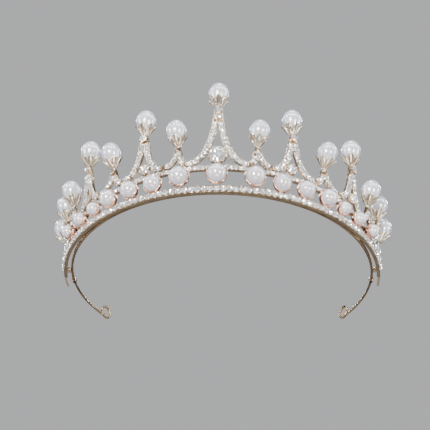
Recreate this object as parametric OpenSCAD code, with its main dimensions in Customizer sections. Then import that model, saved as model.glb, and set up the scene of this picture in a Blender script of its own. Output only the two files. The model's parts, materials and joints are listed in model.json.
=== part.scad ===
// Bridal tiara: a plain hair hoop that carries a jewelled gallery of two rails,
// round pearls, pointed arches and drop pearls in petal cups.
// Origin: axis of the hoop, in the plane of its lower edge. +Z up, -Y front, X = 0 is the mirror plane.
// Angles are measured round the hoop from the front; the left side is the one at -X.

/* [Hair hoop] */
// Radius of the face that grips the head
hoop_r = 66.6; // [64:0.1:70]
// Thickness of the hoop strip
hoop_t = 1.0; // [0.9:0.1:1.2]
// Height of the hoop strip
hoop_h = 2.0; // [1.8:0.1:2.4]
// Angle at which each end of the strip stops
band_end = 95.5; // [94:0.5:98]
// Angle of the middle of each end loop
loop_angle = 125; // [118:0.5:130]
// Outer radius of the end loops
loop_r = 3.2; // [3:0.1:3.6]
// Radius of the hole in the end loops
loop_hole_r = 2.3; // [2:0.1:2.4]

/* [Rails] */
// Height of the lower rail
lower_h = 3.4; // [3.2:0.1:3.6]
// Angle at which the lower rail ends
lower_end = 90; // [90:1:94]
// Height of the centre line of the upper rail at the front
upper_z = 12.5; // [12.3:0.1:12.7]
// Height of the upper rail's own section
upper_h = 2.3; // [2.2:0.1:2.4]
// Angle at which the upper rail comes down on the lower one
upper_end = 80; // [78:1:82]

/* [Arches] */
// Width of an arch arm, seen from the front
arm_w = 2.5; // [2.4:0.1:2.6]
// Share of that width left at the neck's top
neck_share = 0.6; // [0.55:0.05:0.7]
// Distance of each arm's centre line from the middle of a tall arch's neck
neck_half = 0.78; // [0.7:0.02:0.86]
// Radius of the small stones in the arches and the upper rail
pave_r = 0.92; // [0.8:0.02:0.94]
// Distance between the small stones
pave_pitch = 2.0; // [1.96:0.02:2.3]

/* [Pearls] */
// Largest diameter of a drop pearl
drop_d = 9.0; // [8:0.1:9.4]
// Length of a drop pearl
drop_len = 10.2; // [9.4:0.1:11]
// Petals in each petal cup
petals = 6; // [5:1:7]
// Diameter of the round centre stone
centre_stone_d = 7.6; // [6.6:0.1:7.8]

/* [Hidden] */
$fn = 64;

// Gap left between neighbouring solids, where the real ones are brazed or glued.
gap = 0.02;

// The gallery is a little wider than the hoop: they touch at the front, and their axes are this far apart.
gallery_back = 1.8;

// Radii of the layers. Those of the gallery are measured from its own axis.
hoop_out = hoop_r + hoop_t;
wire_r = hoop_t / 2;
rail_in = hoop_out + gallery_back + gap;
rail_out = rail_in + 1.5;
seat_r = rail_out - 0.5;
lower_seat_r = rail_out - 0.7;
neck_r = (rail_in + rail_out) / 2 - 0.05;
border = 0.33;

// Height of the upper rail's centre line at an angle from the front.
upper_drop = upper_z - lower_h - upper_h / 2 - gap;
function upper_at(angle) = upper_z - upper_drop * pow(angle / upper_end, 2);

// Arches: angle, height of the neck's top, outward lean and sideways lean of the finial, number of collets.
arches = [
    [0, 42.9, 2, 0, 2],
    [14, 23.9, 14, 4, 0],
    [27.2, 33.3, 5, -4, 1],
    [40.5, 22.3, 18, 1, 0],
    [55.5, 32.2, 5, -8, 1],
    [67.8, 20.1, 15, -4, 0],
    [79.5, 20.8, 10, -6, 1],
    [86.6, 14.5, 14, -3, 0]
];
// Low points between the arches: angle, and height of the arms' centre line there.
valleys = [
    [10.9, 14.9], [19.8, 14.6], [36, 13.9], [47.3, 13.1],
    [60.5, 11.2], [73, 8.8], [83.3, lower_h + arm_w / 2 + gap], [89.4, lower_h + arm_w / 2 + gap]
];
tall_arches = [for (k = [0:len(arches) - 1]) if (arches[k][4] > 0) k];

// Round pearls: angle, height of the centre, diameter.
large_pearls = [[0, 7.8, 8.4], [12.9, 7.6, 8.4]];
medium_pearls = [[22.8, 7.1, 7.5], [31.6, 6.7, 7.5], [40.3, 6.3, 7.5]];
small_pearls = [[48.4, 5.8, 5.9], [56.3, 5.3, 5.9], [65, 4.9, 5.9]];

// Accent stones inside the tall arches: angle, height, diameter.
centre_stone_z = 18.5;
accents = [[26.5, 15.7, 4.4], [53.9, 14.6, 4]];
setting_wall = 0.3;

// Finial, along its own axis from the neck's top.
cup_base_r = 0.75;
cup_t = 0.45;
petal_tip = 5.4;
pearl_mid = 8.2;
peg_r = 0.4;

gold = "#d9c39a";
rose_gold = "#d8a48c";
pearl_white = "#eceaf0";
crystal = "#e6eef4";

// ---- Placing ----

module gallery() translate([0, gallery_back, 0]) children();
module at(angle, height, radius) rotate([0, 0, angle]) translate([0, -radius, height]) children();
module facing_out() rotate([90, 0, 0]) children();
module both_sides(rows) {
    for (row = rows) for (side = row[0] == 0 ? [1] : [-1, 1]) let ($row = row, $side = side) children();
}
module sector(inner, outer, low, high, half_angle) {
    translate([0, 0, low]) rotate([0, 0, -90 - half_angle])
        rotate_extrude(angle = 2 * half_angle) translate([inner, 0]) square([outer - inner, high - low]);
}

// ---- Stones ----

// A round stone with a bevelled crown; its flat back is at z = 0.
module stone(r, depth) {
    rotate_extrude($fn = 32) polygon([
        [0, 0], [r, 0], [r, depth * 0.5], [r * 0.62, depth], [0, depth]
    ]);
}
module stone_at(angle, height, radius, r, depth) at(angle, height, radius) facing_out() stone(r, depth);

// ---- Hoop ----

wire_half = (loop_angle - band_end - 1) / 2;

module hair_hoop() color(gold) sector(hoop_r, hoop_out, 0, hoop_h, band_end);
// A wire that leads from the end of the strip to the loop.
module rear_wire(side) difference() {
    rotate([0, 0, side * (band_end + 0.02 + wire_half) - 90 - wire_half]) rotate_extrude(angle = 2 * wire_half)
        translate([hoop_r + wire_r, hoop_h / 2]) circle(r = wire_r, $fn = 32);
    at(side * loop_angle, loop_r, hoop_r - 2) facing_out() cylinder(r = loop_r + gap, h = hoop_t + 4);
}
module end_loop(side) {
    at(side * loop_angle, loop_r, hoop_r) facing_out() difference() {
        cylinder(r = loop_r, h = hoop_t);
        translate([0, 0, -1]) cylinder(r = loop_hole_r, h = hoop_t + 2);
    }
}
module left_rear_wire() color(gold) rear_wire(-1);
module right_rear_wire() color(gold) rear_wire(1);
module left_end_loop() color(gold) end_loop(-1);
module right_end_loop() color(gold) end_loop(1);
// Beads of braze over the places where the wires meet the strip.
module hoop_end_beads() color(rose_gold) for (side = [-1, 1]) difference() {
    at(side * (band_end - 0.4), 0.1, hoop_out + 0.35) cylinder(r = 1.05, h = hoop_h - 0.2, $fn = 32);
    translate([0, 0, -1]) cylinder(r = hoop_out + gap, h = hoop_h + 2, $fn = 128);
}

// ---- Rails ----

lower_stone_r = lower_h / 2 - border - gap;
lower_pitch = 2.8;
lower_step = lower_pitch / rail_out * 180 / PI;
lower_count = floor((lower_end - 4) / lower_step);

module lower_rail() color(gold) gallery()
    rotate([0, 0, -90 - lower_end]) rotate_extrude(angle = 2 * lower_end) polygon([
        [rail_in, 0], [rail_out, 0], [rail_out, border], [lower_seat_r, border],
        [lower_seat_r, lower_h - border], [rail_out, lower_h - border],
        [rail_out, lower_h], [rail_in, lower_h]
    ]);
module lower_rail_stones() color(crystal) gallery() for (i = [-lower_count:lower_count])
    stone_at(i * lower_step, lower_h / 2, lower_seat_r + gap, lower_stone_r, 1.1);

// The upper rail follows a curve round the hoop, as a bar with a channel for its stones.
upper_rings = 80;
upper_wall = (upper_h - 2 * pave_r - 4 * gap) / 2;
upper_section = [
    [rail_in, -upper_h / 2], [rail_out, -upper_h / 2], [rail_out, upper_wall - upper_h / 2],
    [seat_r, upper_wall - upper_h / 2], [seat_r, upper_h / 2 - upper_wall],
    [rail_out, upper_h / 2 - upper_wall], [rail_out, upper_h / 2], [rail_in, upper_h / 2]
];
module upper_rail() color(gold) gallery() {
    sides = len(upper_section);
    points = [
        for (i = [0:upper_rings]) let (a = upper_end * (2 * i / upper_rings - 1))
            for (p = upper_section) [p[0] * sin(a), -p[0] * cos(a), upper_at(a) + p[1]]
    ];
    walls = [
        for (i = [0:upper_rings - 1]) for (j = [0:sides - 1]) let (k = (j + 1) % sides)
            [i * sides + j, i * sides + k, (i + 1) * sides + k, (i + 1) * sides + j]
    ];
    first = [for (j = [sides - 1:-1:0]) j];
    last = [for (j = [0:sides - 1]) upper_rings * sides + j];
    polyhedron(points, concat([first], walls, [last]), convexity = 10);
}
upper_step = pave_pitch / rail_out * 180 / PI;
upper_count = floor((upper_end - 2) / upper_step);
module upper_rail_stones() color(crystal) gallery() for (i = [-upper_count:upper_count])
    stone_at(i * upper_step, upper_at(i * upper_step), seat_r + gap, pave_r, 0.75);

// Plain strips that run on behind the last stones.
tail_end = 97;
module tail_strip(side) gallery() rotate([0, 0, side * (lower_end + tail_end + 0.04) / 2])
    sector(rail_in + 0.6, rail_out, 0.4, 2.4, (tail_end - lower_end - 0.04) / 2);
module left_tail_strip() color(gold) tail_strip(-1);
module right_tail_strip() color(gold) tail_strip(1);
// Blocks that fill the gap between the hoop and the lower rail where the two are brazed together.
module braze_blocks() color(gold) for (angle = [35, 62, 86], side = [-1, 1]) difference() {
    gallery() rotate([0, 0, side * angle]) sector(rail_in - 3, rail_in - gap, 0.3, hoop_h - 0.3, 1);
    translate([0, 0, -1]) cylinder(r = hoop_out + gap, h = hoop_h + 2, $fn = 128);
}

// ---- Arches ----

arm_steps = 14;
function bezier(p, t) = pow(1 - t, 3) * p[0] + 3 * t * pow(1 - t, 2) * p[1]
    + 3 * t * t * (1 - t) * p[2] + pow(t, 3) * p[3];
function tangent(p, t) = pow(1 - t, 2) * (p[1] - p[0]) + 2 * t * (1 - t) * (p[2] - p[1])
    + t * t * (p[3] - p[2]);
function along(angle) = seat_r * angle * PI / 180;
// The valley on one side of an arch: way = -1 towards the front, 1 towards the back.
function valley(k, way) = k == 0 ? valleys[0] : valleys[way < 0 ? k - 1 : k];
function reach(k, way) = k == 0 ? along(valleys[0][0]) : along(abs(valley(k, way)[0] - arches[k][0]));
function tall(k) = arches[k][4] > 0;
// Centre line of an arm, in mm round the hoop from the arch's middle and in height.
function arm_line(k, way) = let (
    top = arches[k][1], low = valley(k, way)[1], far = reach(k, way) - 0.15, near = tall(k) ? neck_half : 0.3
) [
    [way * near, top], [way * (near + 0.03 * far), top - 0.62 * (top - low)],
    [way * 0.5 * far, low], [way * far, low]
];
// Share of its full width that an arm has at height z: it narrows towards the neck's top.
function taper(k, z) = let (drop = arches[k][1] - z, length = k == 0 ? 6.8 : tall(k) ? 4 : 2.5)
    min(1, neck_share + (1 - neck_share) * max(drop, 0) / length);
function flat(p) = [seat_r * sin(p[0] / seat_r * 180 / PI), p[1]];
function side_point(k, line, t, half) = let (p = bezier(line, t), d = tangent(line, t))
    p + half * taper(k, p[1]) / norm(d) * [-d[1], d[0]];
function arm_outline(k, line, half) = concat(
    [for (i = [0:arm_steps]) flat(side_point(k, line, i / arm_steps, half))],
    [for (i = [arm_steps:-1:0]) flat(side_point(k, line, i / arm_steps, -half))]
);
module arms(k, half, low_r, high_r) intersection() {
    sector(low_r, high_r, 0, arches[k][1], 20);
    for (way = [-1, 1]) rotate([90, 0, 0]) translate([0, 0, rail_in - 8]) linear_extrude(12)
        polygon(arm_outline(k, arm_line(k, way), half));
}
// Height on the neck below which the arms have a channel for stones.
function channel_top(k) = arches[k][1] - (k == 0 ? 6.2 : tall(k) ? 2.9 : 1.4);

module on_arch(k, side) gallery()
    rotate([0, 0, side * arches[k][0]]) mirror([side < 0 ? 1 : 0, 0, 0]) children();
module peak(k, side) on_arch(k, side) difference() {
    arms(k, arm_w / 2, rail_in, rail_out);
    intersection() {
        arms(k, pave_r + 2 * gap, seat_r, rail_out + 1);
        translate([-20, -rail_out - 2, 0]) cube([40, 20, channel_top(k)]);
    }
}
module centre_peak() color(gold) peak(0, 1);
module left_short_peak_1() color(gold) peak(1, -1);
module left_tall_peak_1() color(gold) peak(2, -1);
module left_short_peak_2() color(gold) peak(3, -1);
module left_tall_peak_2() color(gold) peak(4, -1);
module left_short_peak_3() color(gold) peak(5, -1);
module left_tall_peak_3() color(gold) peak(6, -1);
module left_end_peak() color(gold) peak(7, -1);
module right_short_peak_1() color(gold) peak(1, 1);
module right_tall_peak_1() color(gold) peak(2, 1);
module right_short_peak_2() color(gold) peak(3, 1);
module right_tall_peak_2() color(gold) peak(4, 1);
module right_short_peak_3() color(gold) peak(5, 1);
module right_tall_peak_3() color(gold) peak(6, 1);
module right_end_peak() color(gold) peak(7, 1);

module arch_posts() color(gold) gallery() for (i = [0:5], side = [-1, 1]) let (v = valleys[i])
    rotate([0, 0, side * v[0]]) sector(rail_in + 0.1, rail_out - 0.1,
        upper_at(v[0] - 0.8) + upper_h / 2 + gap, v[1] - arm_w / 2 - gap, 0.8);

// Stones stand along each arm, smaller and closer together where it narrows.
line_steps = 60;
function line_sum(line, i) = i == 0 ? 0
    : line_sum(line, i - 1) + norm(bezier(line, i / line_steps) - bezier(line, (i - 1) / line_steps));
function stone_r(k, p) = pave_r * taper(k, p[1]);
function first_step(k, line) = min([
    for (i = [0:line_steps]) let (p = bezier(line, i / line_steps)) if (abs(p[0]) >= stone_r(k, p) + 0.06) i
]);
function stone_row(k, line, table, s) = s > table[line_steps][0] - pave_r ? [] : let (
    p = bezier(line, lookup(s, table))
) concat([p], stone_row(k, line, table, s + pave_pitch * taper(k, p[1])));
module peak_stones(k, side) on_arch(k, side) {
    for (way = [-1, 1]) {
        line = arm_line(k, way);
        table = [for (i = [0:line_steps]) [line_sum(line, i), i / line_steps]];
        for (p = stone_row(k, line, table, table[first_step(k, line)][0]))
            if (p[1] < channel_top(k) - stone_r(k, p))
                stone_at(p[0] / seat_r * 180 / PI, p[1], seat_r + gap, stone_r(k, p), 0.75);
    }
    // One row stands in the neck above the place where the arms part.
    line = arm_line(k, 1);
    parting = bezier(line, first_step(k, line) / line_steps)[1];
    if (parting + 1.9 * pave_r < channel_top(k) - 0.8 * pave_r)
        for (z = [parting + 1.9 * pave_r:pave_pitch:channel_top(k) - 0.8 * pave_r])
            stone_at(0, z, seat_r + gap, 0.8 * pave_r, 0.75);
}
module centre_peak_stones() color(crystal) peak_stones(0, 1);
module left_peak_stones() color(crystal) for (k = [1:7]) peak_stones(k, -1);
module right_peak_stones() color(crystal) for (k = [1:7]) peak_stones(k, 1);

// ---- Settings with larger stones ----

module setting(row, side) {
    r = row[2] / 2 + setting_wall + gap;
    low = upper_at(row[0]) + upper_h / 2 + gap;
    gallery() at(side * row[0], row[1], rail_in + 0.3) facing_out() difference() {
        union() {
            cylinder(r = r, h = 2.2);
            translate([-0.8, low + 0.15 - row[1], 0]) cube([1.6, row[1] - low - 0.15, 1.2]);
        }
        translate([0, 0, 0.9]) cylinder(r = r - setting_wall, h = 3);
        translate([0, 0, -1]) cylinder(r = r - 2 * setting_wall - 0.3, h = 3);
    }
}
module set_stone(row, side) gallery() stone_at(side * row[0], row[1], rail_in + 1.2 + gap, row[2] / 2, 2);
module centre_stone_setting() color(gold) setting([0, centre_stone_z, centre_stone_d], 1);
module centre_stone() color(crystal) set_stone([0, centre_stone_z, centre_stone_d], 1);
module accent_settings() color(gold) both_sides(accents) setting($row, $side);
module accent_stones() color(crystal) both_sides(accents) set_stone($row, $side);

// Small round collets on the necks of the tall arches, under the petal cups.
collet_r = 1.6;
collet_stone_r = collet_r - 0.22;
function collet_height(k, i) = arches[k][1] - 1.15 - 3.3 * i;
module on_necks() gallery()
    for (k = tall_arches, side = k == 0 ? [1] : [-1, 1]) for (i = [0:arches[k][4] - 1])
        at(side * arches[k][0], collet_height(k, i), rail_out + 2 * gap) facing_out() children();
module neck_collets() color(gold) on_necks() difference() {
    cylinder(r = collet_r, h = 1.1);
    translate([0, 0, 0.4]) cylinder(r = collet_stone_r + gap, h = 2);
}
module neck_stones() color(crystal) on_necks() translate([0, 0, 0.4 + gap]) stone(collet_stone_r, 1.1);

// ---- Round pearls between the rails ----

// Distance from the axis at which a pearl clears the stones of both rails.
function pearl_r(row) = row[2] / 2;
function under_upper(row) = upper_at(row[0]) - upper_h / 2 - gap;
function pearl_out(row) = let (room = min(under_upper(row) - row[1], row[1] - lower_h - gap, pearl_r(row)))
    rail_out + 0.45 + sqrt(pow(pearl_r(row), 2) - pow(room, 2));
module at_pearl(row, side) gallery() at(side * row[0], row[1], pearl_out(row)) children();

cup_wall = 0.6;
module round_pearl_cup(row, side) difference() {
    foot_w = 0.34 * row[2];
    at_pearl(row, side) difference() {
        union() {
            sphere(r = pearl_r(row) + cup_wall);
            translate([-foot_w / 2, 0, lower_h + 2 * gap - row[1]])
                cube([foot_w, pearl_out(row) - rail_in - 0.05, under_upper(row) - lower_h - 3 * gap]);
        }
        sphere(r = pearl_r(row) + 2 * gap);
        translate([-10, -20 + pearl_r(row) * 0.1, -10]) cube([20, 20, 20]);
    }
    gallery() rotate([0, 0, side * row[0]]) {
        sector(rail_in - 6, rail_out + 0.35, under_upper(row), upper_z + 5, 10);
        sector(rail_in - 6, rail_out + 0.45, -2, lower_h + gap, 10);
    }
}
module round_pearl(row, side) at_pearl(row, side) difference() {
    sphere(r = pearl_r(row));
    rotate([-90, 0, 0]) cylinder(r = peg_r + gap, h = 10, $fn = 32);
}
module large_pearl_cups() color(rose_gold) both_sides(large_pearls) round_pearl_cup($row, $side);
module medium_pearl_cups() color(rose_gold) both_sides(medium_pearls) round_pearl_cup($row, $side);
module small_pearl_cups() color(rose_gold) both_sides(small_pearls) round_pearl_cup($row, $side);
module large_round_pearls() color(pearl_white) both_sides(large_pearls) round_pearl($row, $side);
module medium_round_pearls() color(pearl_white) both_sides(medium_pearls) round_pearl($row, $side);
module small_round_pearls() color(pearl_white) both_sides(small_pearls) round_pearl($row, $side);
module round_pearl_pegs() color(gold) both_sides(concat(large_pearls, medium_pearls, small_pearls))
    at_pearl($row, $side) rotate([-90, 0, 0]) translate([0, 0, 0.05])
        cylinder(r = peg_r, h = pearl_r($row) - 0.1, $fn = 32);

// ---- Finials: petal cups and drop pearls ----

module on_neck(k, side) gallery() at(side * arches[k][0], arches[k][1], neck_r) children();
module leaning(k, side) on_neck(k, side)
    rotate([arches[k][2], 0, 0]) rotate([0, side * arches[k][3], 0]) children();

cup_outer = [[0.75, 0.6], [1.25, 1.4], [2.3, 2.5], [3.5, 3.9], [4.6, petal_tip]];
cup_inner = [for (p = cup_outer) [p[0] - cup_t * 0.8, p[1] + cup_t * 0.6]];
// Half the space between two petals of width w, at distance r from the cup's axis.
function between(r, w) = (2 * PI * r / petals - w * 6 / petals) / 2;

module petal_cup(k, side) difference() {
    union() {
        on_neck(k, side) sphere(r = cup_base_r);
        leaning(k, side) difference() {
            rotate_extrude() polygon(concat([[0, 0.3], [0.7, 0.3]], cup_outer,
                [for (i = [len(cup_inner) - 1:-1:0]) cup_inner[i]], [[0, cup_inner[0][1]]]));
            for (i = [0:petals - 1]) rotate([0, 0, (i + 0.5) * 360 / petals]) rotate([90, 0, 0])
                linear_extrude(8) polygon([
                    [0, 2.1], [between(3.1, 2.2), 3.3], [between(4, 2.7), 4.5],
                    [between(4.6, 1.4), petal_tip + 0.2], [between(4.6, 0.5), petal_tip + 1],
                    [-between(4.6, 0.5), petal_tip + 1], [-between(4.6, 1.4), petal_tip + 0.2],
                    [-between(4, 2.7), 4.5], [-between(3.1, 2.2), 3.3]
                ]);
        }
    }
    on_neck(k, side) translate([-3, -3, -4 + gap]) cube([6, 6, 4]);
    leaning(k, side) translate([0, 0, 0.6]) cylinder(r = peg_r + gap, h = 3, $fn = 32);
}
// Radius of a drop pearl at a share of its length, 0 at the cup and 1 at the top.
drop_low = pearl_mid - drop_len * 0.51;
function drop_r(u) = u > 0.51 ? drop_d / 2 * sqrt(1 - pow((u - 0.51) / 0.49, 2))
    : drop_d / 2 * sqrt(1 - pow(1 - u / 0.51, 2)) * (1 - 0.14 * (1 - u / 0.51));
drop_steps = 18;
module drop_pearl(k, side) leaning(k, side) difference() {
    rotate_extrude() polygon(concat(
        [[0, drop_low]],
        [for (i = [1:drop_steps - 1]) let (u = (1 - cos(180 * i / drop_steps)) / 2)
            [drop_r(u), drop_low + drop_len * u]],
        [[0, drop_low + drop_len]]
    ));
    cylinder(r = peg_r + gap, h = pearl_mid, $fn = 32);
}
module centre_petal_cup() color(gold) petal_cup(0, 1);
module left_petal_cups() color(gold) for (k = [1:7]) petal_cup(k, -1);
module right_petal_cups() color(gold) for (k = [1:7]) petal_cup(k, 1);
module centre_drop_pearl() color(pearl_white) drop_pearl(0, 1);
module left_drop_pearls() color(pearl_white) for (k = [1:7]) drop_pearl(k, -1);
module right_drop_pearls() color(pearl_white) for (k = [1:7]) drop_pearl(k, 1);
module drop_pearl_pegs() color(gold) for (k = [0:7], side = k == 0 ? [1] : [-1, 1])
    leaning(k, side) translate([0, 0, 0.62]) cylinder(r = peg_r, h = pearl_mid - 0.8, $fn = 32);

// ---- Nodes ----

hair_hoop();
left_rear_wire();
right_rear_wire();
left_end_loop();
right_end_loop();
lower_rail();
lower_rail_stones();
upper_rail();
upper_rail_stones();
left_tail_strip();
right_tail_strip();
braze_blocks();
hoop_end_beads();
centre_peak();
left_short_peak_1();
left_tall_peak_1();
left_short_peak_2();
left_tall_peak_2();
left_short_peak_3();
left_tall_peak_3();
left_end_peak();
right_short_peak_1();
right_tall_peak_1();
right_short_peak_2();
right_tall_peak_2();
right_short_peak_3();
right_tall_peak_3();
right_end_peak();
arch_posts();
centre_peak_stones();
left_peak_stones();
right_peak_stones();
centre_stone_setting();
centre_stone();
accent_settings();
accent_stones();
neck_collets();
neck_stones();
large_pearl_cups();
medium_pearl_cups();
small_pearl_cups();
large_round_pearls();
medium_round_pearls();
small_round_pearls();
round_pearl_pegs();
centre_petal_cup();
left_petal_cups();
right_petal_cups();
drop_pearl_pegs();
centre_drop_pearl();
left_drop_pearls();
right_drop_pearls();
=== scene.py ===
import json
import math
import random

import bmesh
import bpy
from mathutils import Matrix, Vector


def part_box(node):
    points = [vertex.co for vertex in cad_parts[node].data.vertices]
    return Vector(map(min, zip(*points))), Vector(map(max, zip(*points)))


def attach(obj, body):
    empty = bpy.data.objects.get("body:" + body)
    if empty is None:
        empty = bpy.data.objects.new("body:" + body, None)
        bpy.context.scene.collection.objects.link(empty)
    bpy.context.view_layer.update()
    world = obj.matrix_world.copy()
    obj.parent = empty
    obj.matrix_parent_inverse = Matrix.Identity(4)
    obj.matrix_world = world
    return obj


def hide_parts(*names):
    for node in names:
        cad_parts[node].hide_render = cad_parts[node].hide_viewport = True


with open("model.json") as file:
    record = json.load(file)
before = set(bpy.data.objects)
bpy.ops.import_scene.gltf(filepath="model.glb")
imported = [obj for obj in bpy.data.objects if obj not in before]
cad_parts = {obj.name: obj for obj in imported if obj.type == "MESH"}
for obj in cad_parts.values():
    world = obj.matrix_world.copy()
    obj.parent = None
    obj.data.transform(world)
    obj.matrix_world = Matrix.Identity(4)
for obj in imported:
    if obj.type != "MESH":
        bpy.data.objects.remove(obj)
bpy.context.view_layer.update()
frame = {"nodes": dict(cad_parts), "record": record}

MM = 0.001
WHITE, WARM, COOL = (1, 1, 1), (1.0, 0.98, 0.95), (0.97, 0.98, 1.0)
mounts = {mount["name"]: mount for mount in frame["record"]["mounts"]}
HOOP_AXIS = Vector((0, 0, 0))
# The gallery of rails and arches is drawn round an axis of its own, a little behind that of the hoop.
GALLERY_AXIS = Vector((0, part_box("lower_rail")[0].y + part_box("lower_rail")[1].x, 0))


# ---- Camera, floor and light ----

def look_from(location, target, roll_degrees):
    """World matrix of a camera at location that looks at target, turned about its own axis."""
    back = (location - target).normalized()
    right = Vector((0, 0, 1)).cross(back).normalized()
    up = back.cross(right)
    roll = math.radians(roll_degrees)
    side = right * math.cos(roll) + up * math.sin(roll)
    top = up * math.cos(roll) - right * math.sin(roll)
    matrix = Matrix((side, top, back)).transposed().to_4x4()
    matrix.translation = location
    return matrix


def make_camera():
    """The view is a little from the right and from well below the plane of the hoop."""
    azimuth, elevation, roll, distance = 2.44, -31.66, 1.31, 1.1
    centre = Vector((0, 0.0018, 0.0195))
    aim = Vector((-0.0035, -0.0043, 0.0293))
    data = bpy.data.cameras.new("Camera")
    data.sensor_width = 36
    data.lens = 203.1
    data.clip_start, data.clip_end = 0.05, 60
    camera = bpy.data.objects.new("Camera", data)
    bpy.context.scene.collection.objects.link(camera)
    camera.matrix_world = look_from(centre + round_about(azimuth, elevation, distance), aim, roll)
    bpy.context.scene.camera = camera


def area_light(name, location, target, width, height, power, colour):
    """A rectangular lamp that faces the target."""
    data = bpy.data.lights.new(name, "AREA")
    data.energy = power
    data.color = colour
    data.shape = "RECTANGLE"
    data.size = width
    data.size_y = height
    light = bpy.data.objects.new(name, data)
    bpy.context.scene.collection.objects.link(light)
    light.matrix_world = look_from(Vector(location), Vector(target), 0)


def round_about(azimuth, elevation, distance):
    """A place at distance from the tiara, azimuth degrees to the right of its front."""
    azimuth, elevation = math.radians(azimuth), math.radians(elevation)
    return Vector((math.sin(azimuth) * math.cos(elevation), -math.cos(azimuth) * math.cos(elevation),
                   math.sin(elevation))) * distance


def make_lights():
    """Four lamps and the panels that the stones and the metal mirror, placed by azimuth and elevation."""
    middle = (0, -0.02, 0.025)
    lamps = [
        ("key", (-16, -6, 1.0), 0.22, 0.30, 13.0, (1.0, 0.99, 1.0)),
        ("second", (37, -14, 1.0), 0.20, 0.20, 5.5, COOL),
        ("left", (-75, 5, 1.0), 0.16, 0.4, 4.5, WARM),
        ("right", (85, 5, 1.0), 0.16, 0.4, 4.5, COOL)]
    # Small panels that the stones mirror towards the camera.
    for azimuth in (-150, -100, -62, -28, 3, 34, 66, 100, 145):
        lamps.append(("panel_%d" % azimuth, (azimuth, 36 + azimuth % 9, 0.8), 0.07, 0.07, 1.2, WHITE))
    lamps.append(("top", (10, 75, 1.0), 0.3, 0.3, 3.0, WHITE))
    # Wide dim panels low in front and at the sides, which the outsides of the petals mirror.
    lamps += [
        ("low_front", (8, -54, 0.9), 0.5, 0.22, 1.9, WARM),
        ("low_left", (-108, -18, 0.9), 0.6, 0.34, 1.5, WARM),
        ("low_right", (108, -18, 0.9), 0.6, 0.34, 1.5, WARM)]
    for name, place, width, height, power, colour in lamps:
        area_light(name, round_about(*place), middle, width, height, power, colour)


def make_world():
    """Pale backdrop. What the metal and the stones mirror is a dim room with a band of bright patches."""
    backdrop, room_tint, patch_strength = (0.50, 0.505, 0.515, 1), (1.0, 0.995, 0.985, 1), 0.7
    world = bpy.data.worlds.new("studio")
    world.use_nodes = True
    bpy.context.scene.world = world
    nodes, links = world.node_tree.nodes, world.node_tree.links
    nodes.clear()
    out = nodes.new("ShaderNodeOutputWorld")
    mix = nodes.new("ShaderNodeMixShader")
    path = nodes.new("ShaderNodeLightPath")
    seen = nodes.new("ShaderNodeBackground")
    seen.inputs["Color"].default_value = backdrop
    seen.inputs["Strength"].default_value = 1.0
    room = nodes.new("ShaderNodeBackground")
    room.inputs["Color"].default_value = room_tint
    coords = nodes.new("ShaderNodeTexCoord")
    split = nodes.new("ShaderNodeSeparateXYZ")
    span = nodes.new("ShaderNodeMapRange")
    span.inputs["From Min"].default_value = -1
    links.new(coords.outputs["Generated"], split.inputs[0])
    links.new(split.outputs["Z"], span.inputs["Value"])
    base = brightness_ramp(nodes, links, span.outputs["Result"],
                           ((0.0, 0.04), (0.45, 0.04), (0.5, 0.02), (0.6, 0.03), (0.8, 0.05), (1.0, 0.10)))
    band = brightness_ramp(nodes, links, span.outputs["Result"],
                           ((0.0, 0.0), (0.67, 0.0), (0.71, 1.0), (0.80, 1.0), (0.84, 0.0), (1.0, 0.0)))
    patches = nodes.new("ShaderNodeTexNoise")
    patches.inputs["Scale"].default_value = 4.5
    patches.inputs["Detail"].default_value = 1.0
    links.new(coords.outputs["Generated"], patches.inputs["Vector"])
    panel = brightness_ramp(nodes, links, patches.outputs["Fac"],
                            ((0.0, 0.0), (0.45, 0.0), (0.52, 1.0), (1.0, 1.0)))
    lit = nodes.new("ShaderNodeMath")
    lit.operation = "MULTIPLY"
    links.new(panel, lit.inputs[0])
    links.new(band, lit.inputs[1])
    total = nodes.new("ShaderNodeMath")
    total.operation = "MULTIPLY_ADD"
    total.inputs[1].default_value = patch_strength
    links.new(lit.outputs[0], total.inputs[0])
    links.new(base, total.inputs[2])
    links.new(total.outputs[0], room.inputs["Strength"])
    links.new(path.outputs["Is Camera Ray"], mix.inputs["Fac"])
    links.new(room.outputs[0], mix.inputs[1])
    links.new(seen.outputs[0], mix.inputs[2])
    links.new(mix.outputs[0], out.inputs["Surface"])


def brightness_ramp(nodes, links, factor, stops):
    """Socket that follows the given (position, brightness) stops as the factor goes from 0 to 1."""
    ramp = nodes.new("ShaderNodeValToRGB")
    elements = ramp.color_ramp.elements
    for element, (position, value) in zip((elements[0], elements[1]), (stops[0], stops[-1])):
        element.position, element.color = position, (value, value, value, 1)
    for position, value in stops[1:-1]:
        elements.new(position).color = (value, value, value, 1)
    links.new(factor, ramp.inputs["Fac"])
    return ramp.outputs["Color"]


def make_floor():
    """The tiara is seen from below its own band, so the pale floor lies well under the camera."""
    mesh = bpy.data.meshes.new("floor")
    half, level, glow = 6.0, -1.8, 0.12
    mesh.from_pydata([(-half, -half, level), (half, -half, level), (half, half, level), (-half, half, level)],
                     [], [(0, 1, 2, 3)])
    floor = bpy.data.objects.new("floor", mesh)
    bpy.context.scene.collection.objects.link(floor)
    material, shader, nodes, links = new_material("pale_floor")
    noise = noise_node(nodes, links, 3.0, 3)
    tint_between(nodes, links, noise.outputs["Fac"], (0.84, 0.84, 0.84), (0.90, 0.90, 0.90),
                 shader.inputs["Base Color"])
    shader.inputs["Roughness"].default_value = 0.7
    shader.inputs["Emission Color"].default_value = (1.0, 1.0, 1.0, 1)
    shader.inputs["Emission Strength"].default_value = glow
    mesh.materials.append(material)


# ---- Materials ----

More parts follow.
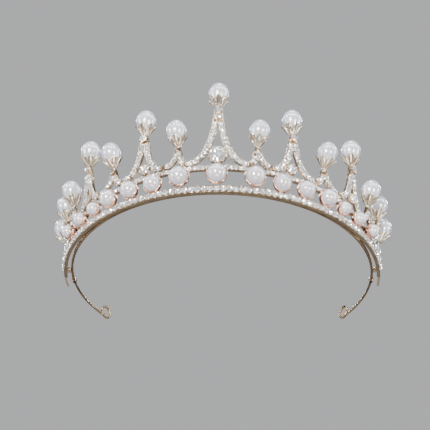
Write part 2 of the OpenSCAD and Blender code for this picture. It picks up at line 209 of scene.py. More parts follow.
def new_material(name):
    """A material with its main shader, nodes and links."""
    material = bpy.data.materials.new(name)
    material.use_nodes = True
    nodes, links = material.node_tree.nodes, material.node_tree.links
    return material, nodes["Principled BSDF"], nodes, links


def noise_node(nodes, links, scale, detail, roughness=0.5, distortion=0.0):
    """Noise in the piece's own coordinates, so that it moves with the piece."""
    coords = nodes.new("ShaderNodeTexCoord")
    noise = nodes.new("ShaderNodeTexNoise")
    noise.inputs["Scale"].default_value = scale
    noise.inputs["Detail"].default_value = detail
    noise.inputs["Roughness"].default_value = roughness
    noise.inputs["Distortion"].default_value = distortion
    links.new(coords.outputs["Object"], noise.inputs["Vector"])
    return noise


def tint_between(nodes, links, factor, low, high, socket, start=0.3, end=0.7):
    """Feeds a colour socket with a blend of two colours that follows the factor."""
    ramp = nodes.new("ShaderNodeValToRGB")
    ramp.color_ramp.elements[0].position = start
    ramp.color_ramp.elements[0].color = (*low, 1)
    ramp.color_ramp.elements[1].position = end
    ramp.color_ramp.elements[1].color = (*high, 1)
    links.new(factor, ramp.inputs["Fac"])
    links.new(ramp.outputs["Color"], socket)


def value_between(nodes, links, factor, low, high, socket):
    """Feeds a value socket with a number from low to high that follows the factor."""
    span = nodes.new("ShaderNodeMapRange")
    span.inputs["From Min"].default_value = 0.3
    span.inputs["From Max"].default_value = 0.7
    span.inputs["To Min"].default_value = low
    span.inputs["To Max"].default_value = high
    links.new(factor, span.inputs["Value"])
    links.new(span.outputs["Result"], socket)


def add_bump(nodes, links, shader, factor, strength, distance):
    """Tilts the shader's normal as if the factor were a height."""
    bump = nodes.new("ShaderNodeBump")
    bump.inputs["Strength"].default_value = strength
    bump.inputs["Distance"].default_value = distance
    links.new(factor, bump.inputs["Height"])
    links.new(bump.outputs["Normal"], shader.inputs["Normal"])


def plated_metal(name, pale, deep, smooth, rough, unevenness=0.8):
    """Polished plating: slow shifts of tint, cast unevenness and fine rub marks."""
    material, shader, nodes, links = new_material(name)
    shader.inputs["Metallic"].default_value = 1.0
    shader.inputs["Coat Weight"].default_value = 0.25
    shader.inputs["Coat Roughness"].default_value = 0.06
    cloud = noise_node(nodes, links, 260, 3)
    tint_between(nodes, links, cloud.outputs["Fac"], deep, pale, shader.inputs["Base Color"])
    rub = noise_node(nodes, links, 1400, 4, 0.6)
    value_between(nodes, links, rub.outputs["Fac"], smooth, rough, shader.inputs["Roughness"])
    cast = noise_node(nodes, links, 1300, 1)
    add_bump(nodes, links, shader, cast.outputs["Fac"], unevenness, 0.00022)
    return material


def pearl(name, pale, shade, roughness, coat_roughness):
    """Pearl lacquer: cloudy nacre, a satin gleam under a clear coat and a thin interference film."""
    material, shader, nodes, links = new_material(name)
    nacre = noise_node(nodes, links, 120, 4, 0.55, 1.2)
    tint_between(nodes, links, nacre.outputs["Fac"], shade, pale, shader.inputs["Base Color"], 0.25, 0.75)
    value_between(nodes, links, nacre.outputs["Fac"], roughness * 0.85, roughness * 1.15,
                  shader.inputs["Roughness"])
    shader.inputs["Subsurface Weight"].default_value = 0.12
    shader.inputs["Subsurface Radius"].default_value = (1.0, 0.85, 0.8)
    shader.inputs["Subsurface Scale"].default_value = 0.0006
    shader.inputs["Specular IOR Level"].default_value = 1.0
    shader.inputs["Coat Weight"].default_value = 1.0
    shader.inputs["Coat IOR"].default_value = 2.8
    shader.inputs["Coat Roughness"].default_value = coat_roughness
    shader.inputs["Sheen Weight"].default_value = 0.05
    shader.inputs["Sheen Roughness"].default_value = 0.4
    shader.inputs["Thin Film Thickness"].default_value = 420
    shader.inputs["Thin Film IOR"].default_value = 1.38
    fine = noise_node(nodes, links, 700, 2)
    add_bump(nodes, links, shader, fine.outputs["Fac"], 0.05, 0.00004)
    return material


def silvered_stone(name, mirror):
    """A foil-backed stone: its facets mirror the room over a bright, slightly cloudy silver."""
    material, shader, nodes, links = new_material(name)
    shader.inputs["Metallic"].default_value = mirror
    shader.inputs["IOR"].default_value = 1.6
    shader.inputs["Coat Weight"].default_value = 1.0
    shader.inputs["Coat Roughness"].default_value = 0.02
    shader.inputs["Coat IOR"].default_value = 1.6
    cloud = noise_node(nodes, links, 900, 2)
    tint_between(nodes, links, cloud.outputs["Fac"], (0.90, 0.92, 0.97), (1.0, 1.0, 1.0),
                 shader.inputs["Base Color"])
    value_between(nodes, links, cloud.outputs["Fac"], 0.03, 0.12, shader.inputs["Roughness"])
    return material


def foil():
    """The silvered back of a stone, with the grainy brightness of a foil rather than of a clean mirror."""
    material, shader, nodes, links = new_material("crystal_foil")
    shader.inputs["Metallic"].default_value = 0.55
    cloud = noise_node(nodes, links, 1100, 2)
    tint_between(nodes, links, cloud.outputs["Fac"], (0.90, 0.92, 0.96), (0.99, 0.99, 1.0),
                 shader.inputs["Base Color"])
    value_between(nodes, links, cloud.outputs["Fac"], 0.06, 0.16, shader.inputs["Roughness"])
    return material


# ---- Mesh tools ----

def lathe(mesh, profile, segments, matrix, closed=False):
    """Turns a profile of (radius, height) points about the local Z axis. Points on the axis close it."""
    rings = []
    for radius, height in profile:
        if radius < 1e-9:
            rings.append([mesh.verts.new(matrix @ Vector((0, 0, height)))])
        else:
            rings.append([mesh.verts.new(matrix @ Vector((radius * math.cos(2 * math.pi * i / segments),
                                                          radius * math.sin(2 * math.pi * i / segments),
                                                          height))) for i in range(segments)])
    pairs = list(zip(rings, rings[1:]))
    if closed:
        pairs.append((rings[-1], rings[0]))
    for low, high in pairs:
        for i in range(segments):
            j = (i + 1) % segments
            corners = [low[i % len(low)], low[j % len(low)], high[j % len(high)], high[i % len(high)]]
            face = list(dict.fromkeys(corners))
            if len(face) > 2:
                mesh.faces.new(face).smooth = True


def ring_profile(inner, outer, low, high, round_by):
    """Closed section of a ring with rounded corners."""
    points = []
    for cx, cz, start in ((outer - round_by, low + round_by, -90), (outer - round_by, high - round_by, 0),
                          (inner + round_by, high - round_by, 90), (inner + round_by, low + round_by, 180)):
        for step in range(3):
            angle = math.radians(start + 45 * step)
            points.append((cx + round_by * math.cos(angle), cz + round_by * math.sin(angle)))
    return points


def sweep(mesh, frames, section, closed_ends=True):
    """Carries a closed section of (side, up) points along frames, a list of (point, side axis, up axis)."""
    rings = [[mesh.verts.new(point + side * a + up * b) for a, b in section] for point, side, up in frames]
    count = len(section)
    for low, high in zip(rings, rings[1:]):
        for i in range(count):
            j = (i + 1) % count
            mesh.faces.new((low[i], low[j], high[j], high[i])).smooth = True
    if closed_ends:
        mesh.faces.new(rings[0][::-1])
        mesh.faces.new(rings[-1])


def blob(mesh, matrix, radius, flat=1.0, segments=8, rings=4):
    """A small rounded grain of metal, squashed by flat along its local Z."""
    profile = [(radius * math.cos(math.radians(a)), radius * flat * math.sin(math.radians(a)))
               for a in [-90 + 180 * i / rings for i in range(rings + 1)]]
    profile[0], profile[-1] = (0, -radius * flat), (0, radius * flat)
    lathe(mesh, profile, segments, matrix)


def finish_mesh(name, mesh, materials, replaced):
    """Turns a built mesh into a piece of the tiara that stands in for the replaced CAD nodes."""
    bmesh.ops.recalc_face_normals(mesh, faces=mesh.faces)
    data = bpy.data.meshes.new(name)
    mesh.to_mesh(data)
    mesh.free()
    for material in materials:
        data.materials.append(material)
    piece = bpy.data.objects.new(name, data)
    bpy.context.scene.collection.objects.link(piece)
    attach(piece, "root")
    if replaced:
        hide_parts(*replaced)
    return piece


# ---- Reading places from the CAD nodes ----

def solids(node):
    """The corner points of each separate solid in a CAD node, from the front round to the right."""
    mesh = bmesh.new()
    mesh.from_mesh(frame["nodes"][node].data)
    bmesh.ops.remove_doubles(mesh, verts=mesh.verts, dist=1e-6)
    left = set(mesh.verts)
    groups = []
    while left:
        stack = [left.pop()]
        group = []
        while stack:
            vert = stack.pop()
            group.append(vert.co.copy())
            for edge in vert.link_edges:
                other = edge.other_vert(vert)
                if other in left:
                    left.remove(other)
                    stack.append(other)
        groups.append(group)
    mesh.free()
    return sorted(groups, key=lambda g: (round(turn_of(middle_of(g)), 4), middle_of(g).z))


def mean(points):
    return sum(points, Vector()) / len(points)


def middle_of(points):
    """Middle of the box round the points."""
    low = Vector([min(p[i] for p in points) for i in range(3)])
    high = Vector([max(p[i] for p in points) for i in range(3)])
    return (low + high) / 2


def turn_of(point, axis=GALLERY_AXIS):
    """Direction of a point seen from the axis: 0 is the front, positive to the right."""
    return math.atan2(point.x - axis.x, axis.y - point.y)


def outward(turn):
    """Unit vector that points away from the axis in the given direction."""
    return Vector((math.sin(turn), -math.cos(turn), 0))


def reach_of(point, axis=GALLERY_AXIS):
    """Distance of a point from the axis."""
    return (point - axis).to_2d().length


def seat(turn, height, radius, axis=GALLERY_AXIS):
    """Matrix of a seat on the band that faces outwards: local Z points away from the head, local Y up."""
    out = outward(turn)
    side = Vector((0, 0, 1)).cross(out)
    matrix = Matrix((side, Vector((0, 0, 1)), out)).transposed().to_4x4()
    matrix.translation = axis + out * radius + Vector((0, 0, height))
    return matrix


def discs(node):
    """Seat matrix, radius and depth of each round stone or collet in a CAD node."""
    found = []
    for points in solids(node):
        turn = turn_of(middle_of(points))
        out = outward(turn)
        reach = [(p - GALLERY_AXIS).dot(out) for p in points]
        axis_z = middle_of(points).z
        radius = max(p.z for p in points) - axis_z
        found.append((seat(turn, axis_z, min(reach)), radius, max(reach) - min(reach)))
    return found


# ---- Stones ----

def brilliant(mesh, matrix, radius, crown, pavilion, mains):
    """A round stone: a faceted table, stars, bezels, girdle and a pointed pavilion that is silvered."""
    table, deep_r = 0.56 * radius, 0.5 * radius
    heart_r, star_r = 0.52 * table, 0.99 * (table + radius) / 2
    girdle = 0.06 * radius
    heart_dips = (0.15 * radius, 0.03 * radius, 0.10 * radius)
    middle_dip = 0.05 * radius

    def corner(step, steps, r, height):
        angle = 2 * math.pi * step / steps
        return mesh.verts.new(matrix @ Vector((r * math.cos(angle), r * math.sin(angle), height)))

    def ring(count, r, height, shift):
        return [corner(i + shift, count, r, height) for i in range(count)]

    top = ring(mains, table, crown, 0)
    heart = [corner(i + 0.5, mains, heart_r, crown - heart_dips[i % 3]) for i in range(mains)]
    middle = corner(0, 1, 0, crown - middle_dip)
    star = ring(mains, star_r, crown * 0.52, 0.5)
    upper = ring(mains * 2, radius, girdle, 0)
    lower = ring(mains * 2, radius, -girdle, 0)
    deep = ring(mains, deep_r, -girdle - pavilion * 0.45, 0.5)
    point = corner(0, 1, 0, -girdle - pavilion)
    for i in range(mains):
        j, left, right, next_left = (i + 1) % mains, 2 * i, 2 * i + 1, (2 * i + 2) % (2 * mains)
        for face in ((top[i], top[j], heart[i]),
                     (heart[i - 1], top[i], heart[i]),
                     (heart[i - 1], heart[i], middle),
                     (top[i], star[i], top[j]),
                     (top[i], star[i - 1], upper[left], star[i]),
                     (star[i], upper[left], upper[right]),
                     (star[i], upper[right], upper[next_left])):
            mesh.faces.new(face)
        for face in ((lower[left], lower[right], deep[i]),
                     (lower[right], lower[next_left], deep[i]),
                     (lower[left], deep[i], point, deep[i - 1])):
            mesh.faces.new(face).material_index = 1
    for i in range(2 * mains):
        j = (i + 1) % (2 * mains)
        mesh.faces.new((upper[i], upper[j], lower[j], lower[i]))


def set_stones(name, nodes, materials, seed, wobble, mains, lift=0.0):
    """Cuts a stone with mains bezels into each plain disc of the given CAD nodes, raised by lift."""
    crown_share, pavilion_share, sunk_share, fit = 0.42, 0.5, 0.92, 0.98
    chance = random.Random(seed)
    mesh = bmesh.new()
    for node in nodes:
        for matrix, radius, depth in discs(node):
            tilt = (Matrix.Rotation(chance.uniform(-wobble, wobble), 4, "X")
                    @ Matrix.Rotation(chance.uniform(-wobble, wobble), 4, "Y")
                    @ Matrix.Rotation(chance.uniform(0, math.pi), 4, "Z"))
            crown = depth * crown_share + lift * 0.5
            place = matrix @ Matrix.Translation((0, 0, depth - crown * sunk_share + lift)) @ tilt
            brilliant(mesh, place, radius * fit, crown, depth * pavilion_share, mains)
    return finish_mesh(name, mesh, materials, nodes)


# ---- Metal round the stones ----

def nearest_way(matrix, others):
    """Direction, in the seat's own plane, towards the closest other seat."""
    here = matrix.translation
    best = min((o for o in others if (o - here).length > 1e-5), key=lambda o: (o - here).length)
    local = matrix.to_3x3().inverted() @ (best - here)
    return math.atan2(local.y, local.x)


def grain_settings(name, nodes, material, wall, grain, rise, lift):
    """A thin rim round every small stone, with four grains of metal pushed over its edge."""
    mesh = bmesh.new()
    for node in nodes:
        seats = discs(node)
        places = [matrix.translation for matrix, _, _ in seats]
        for matrix, radius, depth in seats:
            rim = ring_profile(radius + 0.01 * MM, radius + wall, 0.02 * MM, depth * 0.5 + rise + lift * 0.5,
                               0.06 * MM)
            lathe(mesh, rim, 20, matrix, closed=True)
            along = nearest_way(matrix, places)
            for quarter in range(4):
                angle = along + math.radians(45 + 90 * quarter)
                reach = radius + wall * 0.2
                spot = Vector((reach * math.cos(angle), reach * math.sin(angle),
                               depth * 0.62 + (rise + lift) * 0.6))
                blob(mesh, matrix @ Matrix.Translation(spot), grain, 1.1)
    return finish_mesh(name, mesh, [material], [])


def edge_beads(name, nodes, material, half, low, bead):
    """Rows of fine beads along both edges of the arms, at half from their middle, four beside every stone."""
    half_pitch = 0.5 * MM
    mesh = bmesh.new()
    for node in nodes:
        seats = discs(node)
        places = [matrix.translation for matrix, _, _ in seats]
        for matrix, _, _ in seats:
            along = nearest_way(matrix, places)
            for step in (-half_pitch, half_pitch):
                for side in (-half, half):
                    spot = Vector((step * math.cos(along) - side * math.sin(along),
                                   step * math.sin(along) + side * math.cos(along), low))
                    blob(mesh, matrix @ Matrix.Translation(spot), bead, 1.0)
    return finish_mesh(name, mesh, [material], [])


def claw_setting(name, node, replaced, material, claws, claw_r):
    """An open collet with claws bent over the girdle of each stone."""
    foot = 0.9 * MM
    section = [(claw_r * math.cos(2 * math.pi * s / 8), claw_r * math.sin(2 * math.pi * s / 8))
               for s in range(8)]
    mesh = bmesh.new()
    for matrix, radius, depth in discs(node):
        base = matrix @ Matrix.Translation((0, 0, -foot))
        gallery = ring_profile(radius - 0.55 * MM, radius + 0.05 * MM, 0, 0.7 * MM, 0.12 * MM)
        lathe(mesh, gallery, 40, base, closed=True)
        rim = ring_profile(radius + 0.02 * MM, radius + 0.32 * MM, 1.0 * MM, depth + 0.15 * MM, 0.1 * MM)
        lathe(mesh, rim, 40, base, closed=True)
        turn3 = base.to_3x3()
        for i in range(claws):
            angle = 2 * math.pi * (i + 0.5) / claws
            out = Vector((math.cos(angle), math.sin(angle), 0))
            # Up the outside of the collet, then in over the stone's edge, as (radius, height).
            route = [(radius - 0.15 * MM, 0.3 * MM), (radius + 0.3 * MM, 1.1 * MM),
                     (radius + 0.3 * MM, depth + 0.5 * MM), (radius - 0.02 * MM, depth + 0.92 * MM),
                     (radius - 0.35 * MM, depth + 0.86 * MM)]
            side = Vector((-out.y, out.x, 0))
            frames = []
            for k, (r, z) in enumerate(route):
                before = route[max(k - 1, 0)]
                after = route[min(k + 1, len(route) - 1)]
                along = (out * (after[0] - before[0]) + Vector((0, 0, after[1] - before[1]))).normalized()
                frames.append((base @ (out * r + Vector((0, 0, z))), turn3 @ side, turn3 @ along.cross(side)))
            sweep(mesh, frames, section)
            r, z = route[-1]
            blob(mesh, base @ Matrix.Translation(out * r + Vector((0, 0, z))), claw_r * 1.08, 1.0)
    return finish_mesh(name, mesh, [material], replaced)


# ---- Hoop ----

def rounded_bar(width, height, round_by, steps=3):
    """Closed section of a bar with rounded edges."""
    section = []
    for cx, cy, start in ((width / 2 - round_by, -height / 2 + round_by, -90),
                          (width / 2 - round_by, height / 2 - round_by, 0),
                          (-width / 2 + round_by, height / 2 - round_by, 90),
                          (-width / 2 + round_by, -height / 2 + round_by, 180)):
        for step in range(steps + 1):
            angle = math.radians(start + 90 * step / steps)
            section.append((cx + round_by * math.cos(angle), cy + round_by * math.sin(angle)))
    return section


def bend(mesh, start, end, radius, height, section, steps):
    """A bar of the given section along an arc round the hoop's axis."""
    frames = []
    for i in range(steps + 1):
        out = outward(start + (end - start) * i / steps)
        frames.append((out * radius + Vector((0, 0, height)), out, Vector((0, 0, 1))))
    sweep(mesh, frames, section)


def turn_range(node):
    """First and last direction in which a node of the hoop has a corner."""
    turns = [turn_of(vert.co, HOOP_AXIS) for vert in frame["nodes"][node].data.vertices]
    return min(turns), max(turns)


def make_hoop(material, bead_material):
    """The strip round the head, the wire and eye at each end, and the beads of braze between them."""
    inner = mounts["head_band"]["dims"]["r_mm"] * MM
    height = mounts["head_band"]["dims"]["length_mm"] * MM
    thick = mounts["left_end_loop"]["dims"]["length_mm"] * MM
    middle = inner + thick / 2
    strip_edge, ring_edge, wire_tip = 0.32 * MM, 0.4 * MM, 0.62 * MM
    large_bead, small_bead, stretch = 1.45 * MM, 0.7 * MM, Matrix.Diagonal((1.4, 0.95, 0.76, 1))
    start, end = turn_range("hair_hoop")
    mesh = bmesh.new()
    bend(mesh, start, end, middle, height / 2, rounded_bar(thick, height, strip_edge), 200)
    finish_mesh("hoop_strip", mesh, [material], ["hair_hoop"])
    wire = [(thick / 2 * math.cos(2 * math.pi * i / 14), thick / 2 * math.sin(2 * math.pi * i / 14))
            for i in range(14)]
    beads = bmesh.new()
    for side, name in ((-1, "left"), (1, "right")):
        mount = mounts[name + "_end_loop"]
        place = Vector(mount["pos_m"])
        low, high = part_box(name + "_end_loop")
        bore, outside = mount["dims"]["r_mm"] * MM, (high.z - low.z) / 2
        ring = ring_profile(bore, outside, -thick / 2, thick / 2, ring_edge)
        mesh = bmesh.new()
        lathe(mesh, ring, 48, seat(turn_of(place, HOOP_AXIS), place.z, middle, HOOP_AXIS), closed=True)
        finish_mesh("hoop_%s_loop" % name, mesh, [material], [name + "_end_loop"])

        first, last = turn_range(name + "_rear_wire")
        far, near = (first, last) if side < 0 else (last, first)
        mesh = bmesh.new()
        bend(mesh, first, last, middle, height / 2, wire, 40)
        blob(mesh, seat(far, height / 2, middle, HOOP_AXIS), wire_tip, 1.0, 12, 8)
        finish_mesh("hoop_%s_wire" % name, mesh, [material], [name + "_rear_wire"])

        on_strip = seat(near - side * 0.006, height * 0.70, middle + thick * 0.1, HOOP_AXIS)
        on_wire = seat(near + side * 0.012, height * 0.55, middle + thick * 0.4, HOOP_AXIS)
        blob(beads, on_strip @ stretch, large_bead, 1.0, 18, 10)
        blob(beads, on_wire @ stretch, small_bead, 1.0, 14, 8)
    finish_mesh("hoop_beads", beads, [bead_material], ["hoop_end_beads"])


# ---- Pearls and their cups ----

def ball(points):
    """Seat and radius of a round pearl, from its corners."""
    centre = middle_of(points)
    radius = (max(p.z for p in points) - min(p.z for p in points)) / 2
    return seat(turn_of(centre), centre.z, reach_of(centre)), radius


def arc(radius, start, end, steps):
    """Points (radius, height) on a circle round the origin. Angles in radians from its lowest point."""
    angles = [start + (end - start) * i / steps for i in range(steps + 1)]
    return [(radius * math.sin(angle), -radius * math.cos(angle)) for angle in angles]


def make_round_pearls(material):
    """A smooth ball in the place of each round pearl."""
    nodes = ["large_round_pearls", "medium_round_pearls", "small_round_pearls"]
    mesh = bmesh.new()
    for node in nodes:
        for points in solids(node):
            matrix, radius = ball(points)
            profile = arc(radius, 0, math.pi, 28)
            profile[0], profile[-1] = (0, -radius), (0, radius)
            lathe(mesh, profile, 48, matrix)
    finish_mesh("round_pearls", mesh, [material], nodes)


def finials():
    """Foot of the petal cup and axis of each drop pearl, from the pegs that carry them."""
    below_peg = 0.62 * MM
    found = []
    for points in solids("drop_pearl_pegs"):
        points = sorted(points, key=lambda p: p.z)
        half = len(points) // 2
        foot, tip = mean(points[:half]), mean(points[half:])
        axis = (tip - foot).normalized()
        found.append((foot - axis * below_peg, axis))
    return found


def upright(foot, axis):
    """Matrix with local Z along the axis and local -Y towards the outside of the tiara."""
    out = outward(turn_of(foot))
    side = axis.cross(out).normalized()
    front = side.cross(axis)
    matrix = Matrix((side, -front, axis)).transposed().to_4x4()
    if matrix.determinant() < 0:
        matrix = Matrix((-side, -front, axis)).transposed().to_4x4()
    matrix.translation = foot
    return matrix


def drop_profile(low, length, width, widest, steps=30):
    """Outline of an egg, widest at the given share of its length and a little leaner below that."""
    lean = 0.14
    points = [(0, low)]
    for i in range(1, steps):
        u = (1 - math.cos(math.pi * i / steps)) / 2
        if u > widest:
            r = width / 2 * math.sqrt(1 - ((u - widest) / (1 - widest)) ** 2)
        else:
            r = width / 2 * math.sqrt(1 - (1 - u / widest) ** 2) * (1 - lean * (1 - u / widest))
        points.append((r, low + length * u))
    return points + [(0, low + length)]


def make_drop_pearls(material):
    """The same egg-shaped pearl on every finial."""
    low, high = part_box("centre_drop_pearl")
    width, length, widest, belly_height = 0.98 * (high.x - low.x), 10.6 * MM, 0.51, 8.2 * MM
    profile = drop_profile(belly_height - length * widest, length, width, widest)
    mesh = bmesh.new()
    for foot, axis in finials():
        lathe(mesh, profile, 48, upright(foot, axis))
    finish_mesh("drop_pearls", mesh, [material],
                ["centre_drop_pearl", "left_drop_pearls", "right_drop_pearls"])


def petal_point(u, v, petal_turn):
    """A point on a petal in mm: v runs from the foot to the tip, u from one edge to the other."""
    foot_r, spread, foot_z, height = 0.85, 3.60, 0.75, 4.85
    flare_from, flare, tip_from = 0.65, 0.35, 0.76
    foot_half, blade_half = 0.46, 1.04
    flaring = (max(v - flare_from, 0) / (1 - flare_from)) ** 2
    reach = foot_r + spread * v + 0.14 * math.sin(math.pi * v) + flare * flaring
    rise = foot_z + height * v ** 1.06
    half = foot_half + blade_half * math.sin(min(v * 1.15, 1) * math.pi / 2) ** 1.2
    if v > tip_from:
        half *= math.sqrt(max(1 - ((v - tip_from) / (1 - tip_from)) ** 2, 0))
    ridge = (0.14 - 0.45 * u ** 2) * math.sin(math.pi * min(v * 1.1, 1) / 2)
    angle = petal_turn + u * half / max(reach, 1.0)
    radius = (reach + ridge) * MM
    return Vector((radius * math.sin(angle), -radius * math.cos(angle), rise * MM))


def petal_sheets(petal_turn, cols, rows, thick):
    """Outer and inner sheet of a petal, as two grids of points. They draw closer towards its edge."""
    du, dv, inside, taper = 0.05, 0.03, 0.96, 0.6
    outer, inner = [], []
    for j in range(rows + 1):
        v = j / rows
        outer.append([petal_point(2 * i / cols - 1, v, petal_turn) for i in range(cols + 1)])
        row = []
        for i, point in enumerate(outer[-1]):
            u = 2 * i / cols - 1
            across = (petal_point(min(u + du, 1), v, petal_turn)
                      - petal_point(max(u - du, -1), v, petal_turn))
            along = (petal_point(u * inside, min(v + dv, 1), petal_turn)
                     - petal_point(u * inside, max(v - dv, 0), petal_turn))
            normal = across.cross(along)
            if normal.length > 0:
                point = point - normal.normalized() * thick * (1 - taper * max(abs(u), v) ** 6)
            row.append(point)
        inner.append(row)
    return outer, inner


def make_petal_cups(material):
    """Six ribbed petals round a small bowl under each drop pearl."""
    petals, cols, rows, thick, unevenness = 6, 8, 12, 0.40 * MM, 0.04
    # Outside of the bowl from its foot up to the rim, then down its inside, as (radius, height) in mm.
    bowl = [(0, 0.02), (0.62, 0.05), (0.86, 0.22), (0.86, 0.42), (0.70, 0.62), (0.80, 0.85), (1.12, 1.25),
            (1.62, 1.75), (1.98, 2.15), (1.82, 2.32), (1.05, 1.65), (0.55, 1.35), (0, 1.3)]
    border = ([(0, i) for i in range(cols)] + [(j, cols) for j in range(rows)]
              + [(rows, cols - i) for i in range(cols)] + [(rows - j, 0) for j in range(rows)])
    chance = random.Random(21)
    mesh = bmesh.new()
    for foot, axis in finials():
        matrix = upright(foot, axis)
        for k in range(petals):
            petal_turn = 2 * math.pi * (k + chance.uniform(-unevenness, unevenness)) / petals
            front, back = [[[mesh.verts.new(matrix @ point) for point in row] for row in sheet]
                           for sheet in petal_sheets(petal_turn, cols, rows, thick)]
            faces = []
            for j in range(rows):
                for i in range(cols):
                    faces.append((front[j][i], front[j][i + 1], front[j + 1][i + 1], front[j + 1][i]))
                    faces.append((back[j][i + 1], back[j][i], back[j + 1][i], back[j + 1][i + 1]))
            for (j, i), (j2, i2) in zip(border, border[1:] + border[:1]):
                faces.append((front[j2][i2], front[j][i], back[j][i], back[j2][i2]))
            for face in faces:
                mesh.faces.new(face).smooth = True
        lathe(mesh, [(r * MM, z * MM) for r, z in bowl], 28, matrix)
    bmesh.ops.remove_doubles(mesh, verts=mesh.verts, dist=1e-7)
    finish_mesh("petal_cups", mesh, [material],
                ["centre_petal_cup", "left_petal_cups", "right_petal_cups"])


def shaped_post(mesh, matrix, rings, corner):
    """A post along the seat's local Y. Each ring is (y, half width, near z, far z)."""
    frames = []
    for y, half, near, far in rings:
        section = rounded_bar(2 * half, far - near, min(corner, half * 0.9, (far - near) * 0.45))
        frames.append([mesh.verts.new(matrix @ Vector((a, y, (near + far) / 2 + b))) for a, b in section])
    for low, high in zip(frames, frames[1:]):
        for i in range(len(low)):
            j = (i + 1) % len(low)
            mesh.faces.new((low[i], low[j], high[j], high[i])).smooth = True
    mesh.faces.new(frames[0][::-1])
    mesh.faces.new(frames[-1])


def make_round_cups(material):
    """Each round pearl sits in a bowl with a rolled rim, on a foot that stands on the lower rail."""
    wall, gap, roll, plate, rim = 0.58 * MM, 0.03 * MM, 0.29 * MM, 0.9 * MM, math.radians(83)
    half_share, foot_share = 0.30, 0.80
    mesh = bmesh.new()
    for size in ("large", "medium", "small"):
        for points, cup in zip(solids(size + "_round_pearls"), solids(size + "_pearl_cups")):
            matrix, radius = ball(points)
            centre = middle_of(points)
            outer, inner = radius + wall, radius + gap
            tip_r, tip_z = arc((outer + inner) / 2, rim, rim, 1)[0]
            rolled = [(tip_r + roll * math.cos(math.radians(a)), tip_z + roll * math.sin(math.radians(a)))
                      for a in (10, 50, 90, 130, 170)]
            bowl = arc(outer, 0, rim, 14) + rolled + arc(inner, rim, 0, 14)
            bowl[0], bowl[-1] = (0, -outer), (0, -inner)
            lathe(mesh, bowl, 44, matrix)

            back = min(reach_of(p) for p in cup) - reach_of(centre)
            post = [p.z - centre.z for p in cup if reach_of(p) - reach_of(centre) < back + 0.3 * MM]
            low, high, bottom, half = min(post), max(post), -radius * foot_share, radius * half_share
            shaped_post(mesh, matrix, [(low, half, back, back + plate), (high, half, back, back + plate)],
                        0.25 * MM)
            if low < bottom:
                near = back + 0.2 * MM
                shaped_post(mesh, matrix, [
                    (low, half * 1.15, near, -0.2 * MM),
                    (low + (bottom - low) * 0.35, half * 0.92, near, -0.45 * MM),
                    (bottom, half * 1.35, near, -0.2 * MM)], 0.35 * MM)
    finish_mesh("round_pearl_cups", mesh, [material],
                ["large_pearl_cups", "medium_pearl_cups", "small_pearl_cups"])


# ---- The whole piece ----

def dress_cad(names, material):
    """Gives the CAD nodes that stay in the visual model their material."""
    for name in names:
        data = frame["nodes"][name].data
        data.materials.clear()
        data.materials.append(material)


champagne = plated_metal("champagne_gold", (0.97, 0.82, 0.62), (0.86, 0.65, 0.44), 0.10, 0.24)
# Darker copy of the champagne plating: painted shade for the recesses, undersides and side walls of the
# rails, posts and peaks.
painted_shade_gold = plated_metal("painted_shade_gold", (0.60, 0.45, 0.30), (0.42, 0.30, 0.19), 0.14, 0.30)
bead_gold = plated_metal("bead_gold", (0.99, 0.92, 0.83), (0.93, 0.82, 0.69), 0.09, 0.20, 0.5)
petal_gold = plated_metal("petal_gold", (0.99, 0.87, 0.70), (0.90, 0.72, 0.52), 0.07, 0.16, 0.3)
rose = plated_metal("rose_gold", (0.94, 0.60, 0.45), (0.84, 0.45, 0.31), 0.14, 0.28)
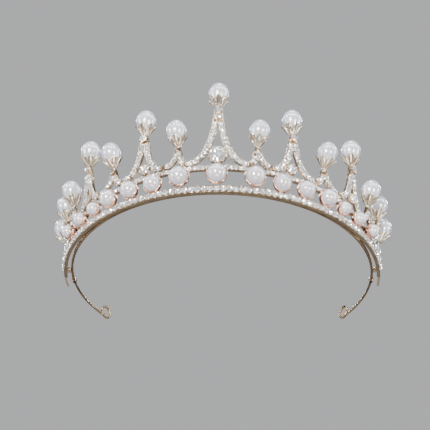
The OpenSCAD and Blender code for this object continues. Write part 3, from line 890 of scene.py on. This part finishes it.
# Hoop plating much darker than the rest: a painted dark reflection, standing in for dark surroundings
# mirrored in the strip, wires and loops.
hoop_gold = plated_metal("hoop_gold", (0.42, 0.285, 0.15), (0.29, 0.185, 0.09), 0.16, 0.34)
round_white = pearl("round_pearl", (0.79, 0.74, 0.80), (0.70, 0.645, 0.71), 0.24, 0.15)
drop_white = pearl("drop_pearl", (0.77, 0.765, 0.86), (0.70, 0.69, 0.79), 0.30, 0.21)
stone = silvered_stone("silvered_stone", 0.67)
large_stone = silvered_stone("large_silvered_stone", 0.72)
silver = foil()

make_camera()
make_lights()
make_world()
make_floor()

make_hoop(hoop_gold, rose)

peak_stones = ["centre_peak_stones", "left_peak_stones", "right_peak_stones"]
low_lift, fine_lift = 0.5 * MM, 0.25 * MM
set_stones("lower_rail_stones_cut", ["lower_rail_stones"], [stone, silver], 11, 0.12, 8, low_lift)
set_stones("upper_rail_stones_cut", ["upper_rail_stones"], [stone, silver], 12, 0.12, 6, fine_lift)
set_stones("peak_stones_cut", peak_stones, [stone, silver], 13, 0.12, 6, fine_lift)
set_stones("large_stones_cut", ["centre_stone", "accent_stones"], [large_stone, silver], 14, 0.0, 16)
set_stones("neck_stones_cut", ["neck_stones"], [stone, silver], 15, 0.06, 8)

fine_grain = {"wall": 0.22 * MM, "grain": 0.24 * MM, "rise": 0.08 * MM, "lift": fine_lift}
low_grain = {"wall": 0.22 * MM, "grain": 0.32 * MM, "rise": 0.1 * MM, "lift": low_lift}
grain_settings("upper_rail_grains", ["upper_rail_stones"], bead_gold, **fine_grain)
grain_settings("peak_grains", peak_stones, bead_gold, **fine_grain)
grain_settings("lower_rail_claws", ["lower_rail_stones"], bead_gold, **low_grain)
edge_beads("peak_edge_beads", peak_stones, bead_gold, half=1.2 * MM, low=0.25 * MM, bead=0.36 * MM)
claw_setting("centre_claws", "centre_stone", ["centre_stone_setting"], champagne, 8, 0.28 * MM)
claw_setting("accent_claws", "accent_stones", ["accent_settings"], champagne, 6, 0.2 * MM)

make_round_pearls(round_white)
make_round_cups(rose)
make_drop_pearls(drop_white)
make_petal_cups(petal_gold)

dress_cad(["neck_collets", "left_tail_strip", "right_tail_strip", "braze_blocks", "round_pearl_pegs",
           "drop_pearl_pegs"], champagne)
peaks = [name for name in frame["nodes"] if name.endswith(("_peak", "_peak_1", "_peak_2", "_peak_3"))]
# Rails, posts and peaks take the darker copy of the plating, which is painted shade.
dress_cad(["lower_rail", "upper_rail", "arch_posts"] + peaks, painted_shade_gold)
